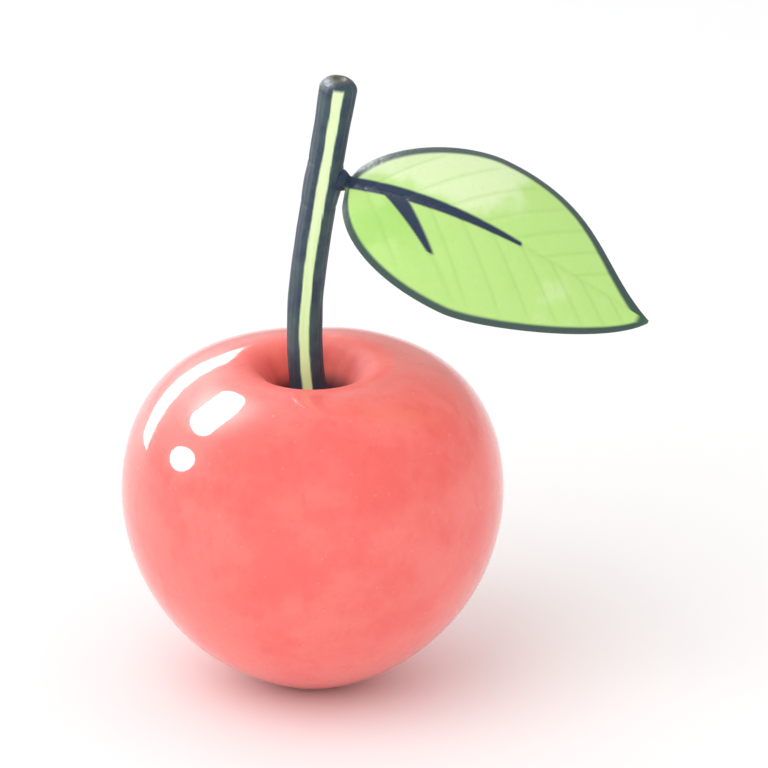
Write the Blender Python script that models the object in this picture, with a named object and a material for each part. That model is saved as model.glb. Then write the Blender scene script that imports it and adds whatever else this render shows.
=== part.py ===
"""A cherry as picked: one fruit standing on its rest spot, its stem, and one leaf on the stem.

Units are metres and +Z is up. The origin is the centre of the flat spot that the fruit rests on,
+X is the side that the leaf grows on, and -Y is the side that the leaf's upper face looks to.
"""

import math

import bmesh
import bpy
from mathutils import Euler, Vector
from mathutils.geometry import interpolate_bezier

# Gap kept between two pieces that touch on the real fruit.
JOINT_GAP = 0.0003

# Fruit: widest at the equator, with a rolled crest round the hollow that the stem grows from.
FRUIT_WIDTH = 0.0280
FRUIT_DEPTH = 0.0263
EQUATOR_HEIGHT = 0.0148
CREST_HEIGHT = 0.0250
CREST_RADIUS = 0.0054
REST_RADIUS = 0.0025
HOLLOW_DEPTH = 0.0042
HOLLOW_CLEARANCE = 0.0003
SUTURE_DEPTH = 0.00025
SUTURE_WIDTH = 0.0020

# Pulls are the lengths of a curve's handles, as shares of the rise or run that the curve covers.
BELLY_START_ANGLE = math.radians(18)
BELLY_START_PULL = 0.56
BELLY_END_PULL = 0.38
SHOULDER_START_PULL = 0.255
SHOULDER_END_PULL = 0.91
HOLLOW_START_PULL = 0.62
HOLLOW_END_PULL = 0.42
HOLLOW_WALL_ANGLE = math.radians(62)

# Stem: it leans one way as it leaves the hollow and the other way at its cut end.
STEM_LENGTH = 0.0260
STEM_RADIUS = 0.00127
STEM_FOOT_RADIUS = 0.00160
STEM_FOOT_HEIGHT = 0.0030
STEM_TIP_RADIUS = 0.00138
STEM_TIP_HEIGHT = 0.0050
STEM_TIP_ROUNDING = 0.0009
STEM_SHIFT = Vector((0.0020, 0.0012, 0.0))
STEM_FOOT_LEAN = math.radians(-10)
STEM_TIP_LEAN = math.radians(8.4)
STEM_FOOT_PULL = 0.32
STEM_TIP_PULL = 0.51

# Leaf: a short round stalk that widens into a thin blade, which bows, arches and droops to its tip.
LEAF_BELOW_TIP = 0.0081
LEAF_LENGTH = 0.0243
LEAF_ROLL = math.radians(40)
LEAF_DROOP = math.radians(23.6)
LEAF_TURN = math.radians(-7.7)
LEAF_BOW = 0.00035
LEAF_ARCH = 0.0022
ARCH_SKEW = 0.5
STALK_RADIUS = 0.00055
STALK_ROUND_LENGTH = 0.0002
STALK_LENGTH = 0.0006
BLADE_FORMED_AT = 0.0008
BLADE_THICKNESS = 0.00036
BLADE_START_WIDTH = 0.0006
FAR_WIDTH = 0.0066
NEAR_WIDTH = 0.00675
WIDEST_AT = 0.0100
RIB_DEPTH = 0.00034
RIB_WIDTH = 0.00045
RIB_TIP_WIDTH = 0.00018
FOLD_ANGLE = math.radians(4)
CURL_RADIUS = 0.0083

# Each side's edge: how it leaves the stalk, how full it is round its widest place, and its tip.
FAR_EDGE = {"start": 0.435, "before": 0.29, "after": 0.56, "end": 0.41}
FAR_START_ANGLE = math.radians(78.7)
FAR_TIP_ANGLE = math.radians(19.3)
NEAR_EDGE = {"start": 0.48, "before": 0.61, "after": 0.24, "end": 0.27}
NEAR_START_ANGLE = math.radians(88)
NEAR_TIP_ANGLE = math.radians(60)

FRUIT_SEGMENTS = 48
STEM_SEGMENTS = 16
LEAF_SEGMENTS = 24
CURVE_STEPS = 12
HOLLOW_STEPS = 8
STEM_RINGS = 24
ROUNDING_STEPS = 4
BLADE_STEPS = 36
BLADE_CROWDING = 1.4
OUTLINE_SAMPLES = 80


def clear_scene():
    """Removes every object that the scene starts with."""
    for obj in list(bpy.data.objects):
        bpy.data.objects.remove(obj)


def finish(name, colour, roughness):
    """A Principled material of one colour."""
    material = bpy.data.materials.new(name)
    material.use_nodes = True
    shader = material.node_tree.nodes["Principled BSDF"]
    shader.inputs["Base Color"].default_value = (*colour, 1.0)
    shader.inputs["Roughness"].default_value = roughness
    shader.inputs["Metallic"].default_value = 0.0
    return material


def loft(name, rings, material, parent):
    """One closed smooth object through rings of points, with a flat cap on each end ring.

    Each ring is anticlockwise seen from the last one. The last may be one point, which needs no cap.
    """
    mesh = bpy.data.meshes.new(name)
    shape = bmesh.new()
    rows = [[shape.verts.new(point) for point in ring] for ring in rings]
    for lower, upper in zip(rows, rows[1:]):
        for i in range(len(lower)):
            j = (i + 1) % len(lower)
            far_side = (upper[0],) if len(upper) == 1 else (upper[j], upper[i])
            face = shape.faces.new((lower[i], lower[j], *far_side))
            face.smooth = True
    shape.faces.new(reversed(rows[0]))
    if len(rows[-1]) > 1:
        shape.faces.new(rows[-1])
    shape.to_mesh(mesh)
    shape.free()
    mesh.materials.append(material)
    obj = bpy.data.objects.new(name, mesh)
    obj.parent = parent
    bpy.context.scene.collection.objects.link(obj)
    return obj


def smooth_step(share):
    """0 below 0, 1 above 1, and an S-curve between."""
    share = min(1.0, max(0.0, share))
    return share * share * (3 - 2 * share)


# Fruit


def hollow_floor_height():
    return CREST_HEIGHT - HOLLOW_DEPTH


def hollow_floor_radius():
    return STEM_FOOT_RADIUS + HOLLOW_CLEARANCE


def fruit_profile():
    """(radius, height) points from the rest spot's edge, over the crest, to the hollow's floor."""
    half_width = FRUIT_WIDTH / 2
    rest_edge = Vector((REST_RADIUS, 0))
    equator = Vector((half_width, EQUATOR_HEIGHT))
    crest = Vector((CREST_RADIUS, CREST_HEIGHT))
    floor_edge = Vector((hollow_floor_radius(), hollow_floor_height()))

    belly_rise = EQUATOR_HEIGHT
    belly_start = Vector((math.cos(BELLY_START_ANGLE), math.sin(BELLY_START_ANGLE)))
    belly = interpolate_bezier(
        rest_edge,
        rest_edge + belly_start * (BELLY_START_PULL * belly_rise),
        equator - Vector((0, BELLY_END_PULL * belly_rise)),
        equator,
        CURVE_STEPS + 1,
    )

    shoulder = interpolate_bezier(
        equator,
        equator + Vector((0, SHOULDER_START_PULL * (CREST_HEIGHT - EQUATOR_HEIGHT))),
        crest + Vector((SHOULDER_END_PULL * (half_width - CREST_RADIUS), 0)),
        crest,
        CURVE_STEPS + 1,
    )

    hollow_run = CREST_RADIUS - hollow_floor_radius()
    wall = Vector((math.cos(HOLLOW_WALL_ANGLE), math.sin(HOLLOW_WALL_ANGLE)))
    hollow = interpolate_bezier(
        crest,
        crest - Vector((HOLLOW_START_PULL * hollow_run, 0)),
        floor_edge + wall * (HOLLOW_END_PULL * HOLLOW_DEPTH),
        floor_edge,
        HOLLOW_STEPS + 1,
    )
    return belly + shoulder[1:] + hollow[1:]


def fruit_ring(radius, height):
    """One level ring: round at the hollow's floor, flatter outside it, and nicked at the back."""
    outside_floor = smooth_step((radius - hollow_floor_radius()) / (CREST_RADIUS - hollow_floor_radius()))
    near_equator = smooth_step((radius - CREST_RADIUS) / (FRUIT_WIDTH / 2 - CREST_RADIUS))
    depth_share = 1 - outside_floor * (1 - FRUIT_DEPTH / FRUIT_WIDTH)
    ring = []
    for i in range(FRUIT_SEGMENTS):
        angle = 2 * math.pi * i / FRUIT_SEGMENTS
        from_suture = math.remainder(angle - math.pi / 2, 2 * math.pi) * radius
        nick = SUTURE_DEPTH * near_equator * math.exp(-((from_suture / SUTURE_WIDTH) ** 2))
        reach = radius - nick
        ring.append((reach * math.cos(angle), depth_share * reach * math.sin(angle), height))
    return ring


def build_fruit(parent):
    skin = finish("cherry_skin", (0.90, 0.16, 0.12), 0.22)
    rings = [fruit_ring(point.x, point.y) for point in fruit_profile()]
    return loft("fruit", rings, skin, parent)


# Stem


def stem_line():
    """Points up the stem's middle, from its foot at (0, 0, 0) to its cut end."""
    foot = Vector((0, 0, 0))
    tip = STEM_SHIFT + Vector((0, 0, STEM_LENGTH))
    foot_lean = Vector((math.tan(STEM_FOOT_LEAN), 0, 1))
    tip_lean = Vector((math.tan(STEM_TIP_LEAN), 0, 1))
    foot_handle = foot + foot_lean * (STEM_FOOT_PULL * STEM_LENGTH)
    tip_handle = tip - tip_lean * (STEM_TIP_PULL * STEM_LENGTH)
    return interpolate_bezier(foot, foot_handle, tip_handle, tip, STEM_RINGS)


def stem_point(height):
    """The stem's middle at a height above its foot."""
    line = stem_line()
    for before, after in zip(line, line[1:]):
        if height <= after.z:
            return before.lerp(after, (height - before.z) / (after.z - before.z))
    return line[-1]


def stem_radius(height):
    """The stem's radius at a height above its foot: flared at the foot, swollen at the cut end."""
    foot_share = 1 - smooth_step(height / STEM_FOOT_HEIGHT)
    tip_share = smooth_step((height - STEM_LENGTH + STEM_TIP_HEIGHT) / STEM_TIP_HEIGHT)
    foot_swell = (STEM_FOOT_RADIUS - STEM_RADIUS) * foot_share
    tip_swell = (STEM_TIP_RADIUS - STEM_RADIUS) * tip_share
    return STEM_RADIUS + foot_swell + tip_swell


def ring_round(centre, direction, radius):
    """A ring of the stem, square to its direction."""
    side = Vector((0, 1, 0)).cross(direction).normalized()
    front = direction.cross(side).normalized()
    turns = (2 * math.pi * i / STEM_SEGMENTS for i in range(STEM_SEGMENTS))
    return [centre + radius * (side * math.cos(turn) + front * math.sin(turn)) for turn in turns]


def build_stem(parent):
    line = stem_line()
    level = Vector((0, 0, 1))
    rings = [ring_round(line[0], level, stem_radius(0))]
    for below, centre, above in zip(line, line[1:], line[2:]):
        if STEM_LENGTH - centre.z > STEM_TIP_ROUNDING:
            rings.append(ring_round(centre, (above - below).normalized(), stem_radius(centre.z)))
    end = line[-1]
    ahead = (line[-1] - line[-2]).normalized()
    for step in range(ROUNDING_STEPS + 1):
        turn = 0.5 * math.pi * step / ROUNDING_STEPS
        inset = STEM_TIP_ROUNDING * (1 - math.cos(turn))
        centre = end - ahead * (STEM_TIP_ROUNDING * (1 - math.sin(turn)))
        rings.append(ring_round(centre, ahead, STEM_TIP_RADIUS - inset))
    bark = finish("cherry_stem", (0.42, 0.58, 0.16), 0.5)
    stem = loft("stem", rings, bark, parent)
    stem.location = (0, 0, hollow_floor_height() + JOINT_GAP)
    return stem


# Leaf


def outline(width, edge, start_angle, tip_angle):
    """(distance along the leaf, half width) points of one side of the blade, base to tip."""
    base = Vector((STALK_LENGTH, BLADE_START_WIDTH))
    widest = Vector((WIDEST_AT, width))
    tip = Vector((LEAF_LENGTH, 0))
    run_in = WIDEST_AT - STALK_LENGTH
    run_out = LEAF_LENGTH - WIDEST_AT
    outwards = Vector((math.cos(start_angle), math.sin(start_angle)))
    back = Vector((-math.cos(tip_angle), math.sin(tip_angle)))
    rising = interpolate_bezier(
        base,
        base + outwards * (edge["start"] * width),
        widest - Vector((edge["before"] * run_in, 0)),
        widest,
        OUTLINE_SAMPLES // 2,
    )
    falling = interpolate_bezier(
        widest,
        widest + Vector((edge["after"] * run_out, 0)),
        tip + back * (edge["end"] * run_out),
        tip,
        OUTLINE_SAMPLES // 2,
    )
    return rising + falling[1:]


def width_at(points, along):
    """The half width of an outline at a distance along the leaf, by straight lines between points."""
    if along <= points[0].x:
        return points[0].y
    for before, after in zip(points, points[1:]):
        if along <= after.x:
            share = (along - before.x) / max(after.x - before.x, 1e-9)
            return before.y + share * (after.y - before.y)
    return points[-1].y


def leaf_line(along):
    """The midrib at a distance along the leaf: it bows sideways and arches, most near the stalk."""
    share = along / LEAF_LENGTH
    swell = 4 * share * (1 - share) * (1 + ARCH_SKEW * (1 - 2 * share))
    return Vector((along, LEAF_BOW * swell, LEAF_ARCH * swell))


def blade_lift(side):
    """How far the blade's middle surface stands above the midrib at a distance to its side."""
    return math.tan(FOLD_ANGLE) * abs(side) - side * side / (2 * CURL_RADIUS)


def leaf_section(along, far, near):
    """One closed section across the leaf: round in the stalk, thin and ribbed in the blade."""
    spread = smooth_step((along - STALK_ROUND_LENGTH) / (BLADE_FORMED_AT - STALK_ROUND_LENGTH))
    remaining = 1 - along / LEAF_LENGTH
    rib_depth = RIB_DEPTH * remaining
    rib_width = RIB_TIP_WIDTH + (RIB_WIDTH - RIB_TIP_WIDTH) * remaining
    middle = leaf_line(along)
    ring = []
    for i in range(LEAF_SEGMENTS):
        turn = 2 * math.pi * i / LEAF_SEGMENTS
        across, up = math.cos(turn), math.sin(turn)
        blade_side = (far if across > 0 else near) * across * abs(across)
        side = STALK_RADIUS * across * (1 - spread) + blade_side * spread
        half_blade = BLADE_THICKNESS / 2 * math.copysign(math.sqrt(abs(up)), up)
        rib = rib_depth * math.exp(-((side / rib_width) ** 2)) if up < 0 else 0.0
        height = STALK_RADIUS * up * (1 - spread) + (half_blade - rib) * spread
        ring.append(middle + Vector((0, side, blade_lift(side) * spread + height)))
    return ring


def leaf_stations():
    """Distances along the leaf, closest together where the stalk turns into the blade."""
    blade_length = LEAF_LENGTH - STALK_ROUND_LENGTH
    shares = ((i / BLADE_STEPS) ** BLADE_CROWDING for i in range(BLADE_STEPS))
    return [0.0] + [STALK_ROUND_LENGTH + blade_length * share for share in shares]


def place_leaf(leaf):
    """Sets the leaf's foot beside the stem, at its own height and turned the way it grows."""
    node = stem_point(STEM_LENGTH - LEAF_BELOW_TIP)
    outwards = Vector((math.cos(LEAF_TURN), math.sin(LEAF_TURN), 0))
    stalk_tilt = STALK_RADIUS * math.sin(LEAF_DROOP)
    reach = stem_radius(node.z) / math.cos(STEM_TIP_LEAN) + JOINT_GAP + stalk_tilt
    stem_foot = Vector((0, 0, hollow_floor_height() + JOINT_GAP))
    leaf.location = stem_foot + node + outwards * reach
    leaf.rotation_euler = Euler((LEAF_ROLL, LEAF_DROOP, LEAF_TURN))


def build_leaf(parent):
    far_side = outline(FAR_WIDTH, FAR_EDGE, FAR_START_ANGLE, FAR_TIP_ANGLE)
    near_side = outline(NEAR_WIDTH, NEAR_EDGE, NEAR_START_ANGLE, NEAR_TIP_ANGLE)
    rings = []
    for along in leaf_stations():
        far = width_at(far_side, along)
        near = width_at(near_side, along)
        rings.append(leaf_section(along, far, near))
    rings.append([leaf_line(LEAF_LENGTH)])
    blade_green = finish("cherry_leaf", (0.40, 0.62, 0.14), 0.45)
    leaf = loft("leaf", rings, blade_green, parent)
    place_leaf(leaf)
    return leaf


def main():
    clear_scene()
    cherry = bpy.data.objects.new("cherry", None)
    bpy.context.scene.collection.objects.link(cherry)
    build_fruit(cherry)
    build_stem(cherry)
    build_leaf(cherry)


main()
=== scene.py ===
"""A picked cherry, finished: its glossy skin, the stem that carried it and the one leaf on the stem.

Units are metres and +Z is up. The origin is the middle of the spot that the fruit rests on, +X is the
side that the leaf grows on, and -Y is the side that the leaf's upper face looks to.
"""

import logging
import math
from dataclasses import dataclass, field
from enum import Enum
from typing import Sequence

import bpy
from mathutils import Euler, Matrix, Vector, noise
from mathutils.bvhtree import BVHTree
from mathutils.geometry import interpolate_bezier


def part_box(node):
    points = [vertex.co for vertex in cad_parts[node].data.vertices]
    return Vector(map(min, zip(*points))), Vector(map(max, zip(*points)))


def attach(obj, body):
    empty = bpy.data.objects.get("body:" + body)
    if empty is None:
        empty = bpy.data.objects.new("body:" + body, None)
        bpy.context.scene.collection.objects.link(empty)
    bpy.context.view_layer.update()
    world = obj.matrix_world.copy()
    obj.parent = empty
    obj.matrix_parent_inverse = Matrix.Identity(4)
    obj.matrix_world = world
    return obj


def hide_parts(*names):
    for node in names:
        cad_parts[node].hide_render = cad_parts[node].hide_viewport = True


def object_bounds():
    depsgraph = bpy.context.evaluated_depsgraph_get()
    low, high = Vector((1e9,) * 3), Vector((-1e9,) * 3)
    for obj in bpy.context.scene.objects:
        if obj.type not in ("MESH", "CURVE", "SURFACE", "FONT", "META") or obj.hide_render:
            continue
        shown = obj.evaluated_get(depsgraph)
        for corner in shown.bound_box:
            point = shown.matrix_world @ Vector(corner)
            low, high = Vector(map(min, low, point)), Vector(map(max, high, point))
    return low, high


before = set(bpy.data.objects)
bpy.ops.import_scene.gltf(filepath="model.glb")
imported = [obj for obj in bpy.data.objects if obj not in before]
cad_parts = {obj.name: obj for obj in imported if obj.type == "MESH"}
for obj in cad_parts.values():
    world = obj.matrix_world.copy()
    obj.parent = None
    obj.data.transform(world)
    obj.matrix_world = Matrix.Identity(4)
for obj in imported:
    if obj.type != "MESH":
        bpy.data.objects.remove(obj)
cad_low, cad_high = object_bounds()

log = logging.getLogger("cherry")

Colour = tuple[float, float, float]
Socket = bpy.types.NodeSocket
Source = Socket | float | Colour
Thing = bpy.types.Object
BODY = "root"
# Half the width over which a dark line on the leaf fades into the green.
SOFT_EDGE = 0.00010
# How strongly wax and living plant skin bend light.
PLANT_IOR = 1.45


def smooth_step(value: float, start: float = 0.0, end: float = 1.0) -> float:
    """An S-curve between two values.

    Args:
        value: Where to read the curve.
        start: Where the curve leaves 0.
        end: Where it reaches 1. It may lie below start, and the curve then falls.

    Returns:
        A share from 0 to 1.
    """
    share = min(1.0, max(0.0, (value - start) / (end - start)))
    return share * share * (3 - 2 * share)


def bell(distance: float, width: float) -> float:
    """1 at no distance, and close to 0 at twice the width."""
    return math.exp(-((distance / width) ** 2))


def ripple(place: Vector, grain: float, seed: float = 0.0) -> float:
    """Smooth unevenness.

    Args:
        place: A point on the piece.
        grain: The size of one swell.
        seed: Moves the pattern, so that two uses of it differ.

    Returns:
        A value from about -1 to 1.
    """
    return noise.noise(place / grain + Vector((seed, 2 * seed, 3 * seed)))


def heading(angle: float) -> Vector:
    """The flat unit vector at an angle."""
    return Vector((math.cos(angle), math.sin(angle)))


def bend(start: Vector, leaving: Vector, arriving: Vector, end: Vector, count: int) -> list[Vector]:
    """Points on a smooth curve, whose two handles are measured from its two ends."""
    return interpolate_bezier(start, start + leaving, end + arriving, end, count)


def even(count: int, **shares: float) -> dict[str, list[float]]:
    """Masks that are the same all round a ring of so many points."""
    return {name: [share] * count for name, share in shares.items()}


def put(name: str, data: bpy.types.ID) -> Thing:
    """Makes an object and puts it in the scene.

    Args:
        name: Its name.
        data: Its mesh, light or camera.

    Returns:
        The object.
    """
    thing = bpy.data.objects.new(name, data)
    bpy.context.scene.collection.objects.link(thing)
    return thing


@dataclass
class Skin:
    """Rings of points joined into one closed surface, with named masks that its finish reads.

    Each ring runs anticlockwise seen from the last one, and all hold as many points.
    """

    name: str
    rings: list[list[Vector]] = field(default_factory=list)
    masks: dict[str, list[float]] = field(default_factory=dict)

    def add_ring(self, points: Sequence[Vector], **masks: Sequence[float]) -> None:
        """Adds the next ring.

        Args:
            points: The ring's points.
            masks: For each mask's name, one share for each point.
        """
        self.rings.append(list(points))
        for mask, shares in masks.items():
            self.masks.setdefault(mask, []).extend(shares)

    def build(self) -> Thing:
        """Joins the rings, closes both ends with a fan and writes the masks.

        Returns:
            The finished object, in the scene.
        """
        count = len(self.rings[0])
        points = [point for ring in self.rings for point in ring]
        for ring in (self.rings[0], self.rings[-1]):
            points.append(sum(ring, Vector()) / count)
        first_pole, last_pole = len(points) - 2, len(points) - 1
        last_row = (len(self.rings) - 1) * count
        faces: list[tuple[int, ...]] = []
        for i in range(count):
            j = (i + 1) % count
            faces.append((first_pole, j, i))
            faces.append((last_pole, last_row + i, last_row + j))
            for row in range(0, last_row, count):
                faces.append((row + i, row + j, row + count + j, row + count + i))
        mesh = bpy.data.meshes.new(self.name)
        mesh.from_pydata(points, [], faces)
        mesh.shade_smooth()
        for mask, shares in self.masks.items():
            ends = [shares[0], shares[-1]]
            mesh.attributes.new(mask, "FLOAT", "POINT").data.foreach_set("value", shares + ends)
        mesh.validate()
        return put(self.name, mesh)


class NodeBench:
    """Lays out the nodes of one material."""

    def __init__(self, name: str) -> None:
        """Makes an empty material with its Principled shader.

        Args:
            name: The material's name.
        """
        self.material = bpy.data.materials.new(name)
        self.material.use_nodes = True
        self.nodes = self.material.node_tree.nodes
        self.shader = self.nodes["Principled BSDF"]
        self.place = self.nodes.new("ShaderNodeTexCoord").outputs["Object"]

    def join(self, source: Source, target: Socket) -> None:
        """Feeds a socket from another socket, or sets it to a number, a vector or a colour.

        Args:
            source: A socket, or the value itself.
            target: The input that it goes to.
        """
        if isinstance(source, Socket):
            self.material.node_tree.links.new(source, target)
        elif target.type == "RGBA":
            target.default_value = (*source, 1.0)
        else:
            target.default_value = source

    def node(self, kind: str, sources: dict[str | int, Source], **choices: str) -> bpy.types.Node:
        """Adds a node.

        Args:
            kind: Its type, without the words that all types start with.
            sources: What each of its inputs is fed from or set to.
            choices: Its own settings.

        Returns:
            The node.
        """
        node = self.nodes.new("ShaderNode" + kind)
        for name, choice in choices.items():
            setattr(node, name, choice)
        for name, source in sources.items():
            self.join(source, node.inputs[name])
        return node

    def mask(self, name: str) -> Socket:
        """The shares of one of the mesh's masks."""
        return self.node("Attribute", {}, attribute_name=name).outputs["Fac"]

    def stretched(self, scale: tuple[float, float, float]) -> Socket:
        """The piece's own coordinates, multiplied along each axis."""
        return self.node("Mapping", {"Vector": self.place, "Scale": scale}).outputs["Vector"]

    def clouds(
        self,
        grain: float,
        detail: float = 3.0,
        roughness: float = 0.5,
        place: Socket | None = None,
    ) -> Socket:
        """Noise.

        Args:
            grain: The size of one cloud.
            detail: How many finer layers it holds.
            roughness: How strong the finer layers are.
            place: Coordinates other than the piece's own.

        Returns:
            A share from 0 to 1, mostly near one half.
        """
        sources = {"Vector": place or self.place, "Scale": 1 / grain, "Detail": detail}
        return self.node("TexNoise", sources | {"Roughness": roughness}).outputs["Fac"]

    def dots(self, grain: float) -> Socket:
        """The distance to the nearest of many scattered points, in shares of the grain."""
        return self.node("TexVoronoi", {"Vector": self.place, "Scale": 1 / grain}).outputs["Distance"]

    def fade(self, value: Socket, start: float, end: float, low: float = 0.0, high: float = 1.0) -> Socket:
        """An S-curve of a value.

        Args:
            value: What the curve reads.
            start: The value at which it leaves low.
            end: The value at which it reaches high.
            low: The result at and before start.
            high: The result at and past end.

        Returns:
            The curve's result.
        """
        sources = {"Value": value, "From Min": start, "From Max": end, "To Min": low, "To Max": high}
        return self.node("MapRange", sources, interpolation_type="SMOOTHSTEP").outputs["Result"]

    def sum(self, operation: str, first: Socket | float, second: Socket | float) -> Socket:
        """One sum on two values: ADD, SUBTRACT, MULTIPLY or MAXIMUM."""
        return self.node("Math", {0: first, 1: second}, operation=operation).outputs["Value"]

    def part(self, value: Socket, share: float) -> Socket:
        """A share of a value."""
        return self.sum("MULTIPLY", value, share)

    def blend(self, share: Socket | float, first: Socket | Colour, second: Socket | Colour) -> Socket:
        """A colour between two others, by a share.

        Args:
            share: 0 for the first colour, 1 for the second.
            first: The first colour.
            second: The second colour.

        Returns:
            The blended colour.
        """
        node = self.node("Mix", {"Factor": share}, data_type="RGBA")
        inputs = {socket.name: socket for socket in node.inputs if socket.type == "RGBA"}
        self.join(first, inputs["A"])
        self.join(second, inputs["B"])
        return next(socket for socket in node.outputs if socket.type == "RGBA")

    def coats(self, colour: Socket | Colour, *coats: tuple[Socket, Socket | Colour]) -> Socket:
        """A colour under coats of others, each laid on by its own share.

        Args:
            colour: The lowest coat.
            coats: For each coat above it, its share and its colour.

        Returns:
            The colour that shows.
        """
        for share, coat in coats:
            colour = self.blend(share, colour, coat)
        return colour

    def bump(self, height: Socket, rise: float, below: Socket | None = None) -> Socket:
        """A bumped normal.

        Args:
            height: The relief, from 0 to 1.
            rise: How far 1 stands above 0.
            below: The normal of a coarser relief that this one lies on.

        Returns:
            The normal.
        """
        sources = {"Height": height, "Distance": rise} | ({"Normal": below} if below else {})
        return self.node("Bump", sources).outputs["Normal"]

    def dress(self, piece: Thing, sources: dict[str, Source]) -> None:
        """Feeds the shader's inputs and gives the material to a piece.

        Args:
            piece: The piece.
            sources: What each of the shader's inputs is fed from or set to.
        """
        for name, source in sources.items():
            self.join(source, self.shader.inputs[name])
        piece.data.materials.append(self.material)


@dataclass(frozen=True)
class SkinFinish:
    """Taut coral-red skin under a clear wax: mottled, with pale pores, and painted shade in its deep red
    hollow.
    """

    ripe: Colour = (0.92, 0.140, 0.122)
    pale: Colour = (0.95, 0.190, 0.165)
    deep: Colour = (0.86, 0.098, 0.088)
    pore: Colour = (0.97, 0.30, 0.24)
    # The hollow's deeper red, made near black here as painted shade deep in the recess.
    hollow: Colour = (0.115, 0.020, 0.032)
    scar: Colour = (0.16, 0.075, 0.035)
    mottle_grain: float = 0.0060
    streak_grain: float = 0.0016
    speck_grain: float = 0.0005
    pore_grain: float = 0.0011
    pore_rise: float = 0.000006
    swell_grain: float = 0.0022
    swell_rise: float = 0.000008
    flesh_depth: float = 0.0012

    def dress(self, piece: Thing) -> None:
        """Gives the fruit this finish.

        Args:
            piece: The finished mesh.
        """
        bench = NodeBench("cherry_skin")
        mottle = bench.fade(bench.clouds(self.mottle_grain, 4.0, 0.62), 0.36, 0.64)
        streaks = bench.clouds(self.streak_grain, 3.0, 0.6, bench.stretched((1.0, 1.0, 0.45)))
        specks = bench.clouds(self.speck_grain, 2.0, 0.7)
        pores = bench.fade(bench.dots(self.pore_grain), 0.13, 0.07)
        suture, hollow, scar, lip = (bench.mask(name) for name in ("suture", "hollow", "scar", "lip"))
        colour = bench.coats(
            self.ripe,
            (mottle, self.pale),
            (bench.fade(streaks, 0.52, 0.74, 0.0, 0.35), self.deep),
            (bench.fade(specks, 0.58, 0.72, 0.0, 0.22), self.deep),
            (bench.part(pores, 0.30), self.pore),
            (bench.part(suture, 0.55), self.deep),
            # Painted shade: the hollow darkens towards its floor.
            (bench.fade(hollow, 0.36, 0.72), self.hollow),
            (scar, self.scar),
        )
        dull = bench.part(bench.sum("MAXIMUM", bench.sum("MAXIMUM", scar, hollow), lip), 0.35)
        swell = bench.bump(bench.clouds(self.swell_grain, 2.0), self.swell_rise)
        looks = {
            "Base Color": colour,
            "Roughness": bench.sum("ADD", bench.fade(specks, 0.3, 0.7, 0.30, 0.38), dull),
            "Normal": bench.bump(pores, self.pore_rise, swell),
            "IOR": PLANT_IOR,
            "Specular IOR Level": 0.20,
            "Subsurface Weight": 0.15,
            "Subsurface Radius": (1.0, 0.35, 0.25),
            "Subsurface Scale": self.flesh_depth,
            "Coat Weight": bench.fade(lip, 0.0, 1.0, 1.0, 0.0),
            "Coat Roughness": 0.035,
            "Coat IOR": PLANT_IOR,
        }
        bench.dress(piece, looks)


@dataclass(frozen=True)
class StemFinish:
    """Green bark: a pale rib up the front and the back, furrowed flanks painted dark as shade and a dried
    cut end.
    """

    rib: Colour = (0.78, 0.93, 0.54)
    rib_low: Colour = (0.68, 0.90, 0.44)
    # Painted shade: the flanks' dark colour, mottled with the paler tone below it.
    flank: Colour = (0.028, 0.048, 0.085)
    shaded_flank_pale: Colour = (0.048, 0.088, 0.100)
    cut: Colour = (0.105, 0.095, 0.060)
    fibre_grain: float = 0.00030
    fibre_rise: float = 0.00006
    pit_grain: float = 0.00022
    pit_rise: float = 0.000012
    mottle_grain: float = 0.0018
    flesh_depth: float = 0.0004

    def dress(self, piece: Thing) -> None:
        """Gives the stem this finish.

        Args:
            piece: The finished mesh.
        """
        bench = NodeBench("cherry_stem")
        fibres = bench.clouds(self.fibre_grain, 3.0, 0.6, bench.stretched((1.0, 1.0, 0.07)))
        mottle = bench.clouds(self.mottle_grain, 3.0, 0.6)
        height = bench.mask("height")
        rib = bench.coats(
            self.rib_low,
            (bench.fade(height, 0.10, 0.75), self.rib),
            (bench.fade(fibres, 0.50, 0.75, 0.0, 0.30), self.rib_low),
        )
        # The painted shade on the flanks.
        flank = bench.coats(
            self.flank,
            (bench.fade(mottle, 0.38, 0.66), self.shaded_flank_pale),
            (bench.fade(fibres, 0.48, 0.70, 0.0, 0.55), self.shaded_flank_pale),
        )
        frayed = bench.sum("ADD", bench.mask("flank"), bench.fade(fibres, 0.3, 0.7, -0.03, 0.03))
        # Where the flanks' painted shade lies; the same dark colour also goes all round just below the cut
        # end.
        off_rib = bench.sum("MAXIMUM", bench.fade(frayed, 0.22, 0.34), bench.fade(height, 0.974, 0.986))
        browned = bench.sum("MULTIPLY", bench.mask("cut"), bench.fade(mottle, 0.2, 0.6, 0.65, 1.0))
        # Painted shade in the groove above the collar, in the flanks' dark colour.
        ring = bench.part(bench.mask("ring"), 0.7)
        furrows = bench.bump(fibres, self.fibre_rise)
        looks = {
            "Base Color": bench.coats(rib, (off_rib, flank), (ring, self.flank), (browned, self.cut)),
            "Roughness": bench.fade(fibres, 0.3, 0.7, 0.42, 0.60),
            "Normal": bench.bump(bench.clouds(self.pit_grain, 2.0), self.pit_rise, furrows),
            "IOR": PLANT_IOR,
            "Specular IOR Level": 0.4,
            "Subsurface Weight": 0.08,
            "Subsurface Radius": (0.5, 1.0, 0.3),
            "Subsurface Scale": self.flesh_depth,
        }
        bench.dress(piece, looks)


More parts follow.
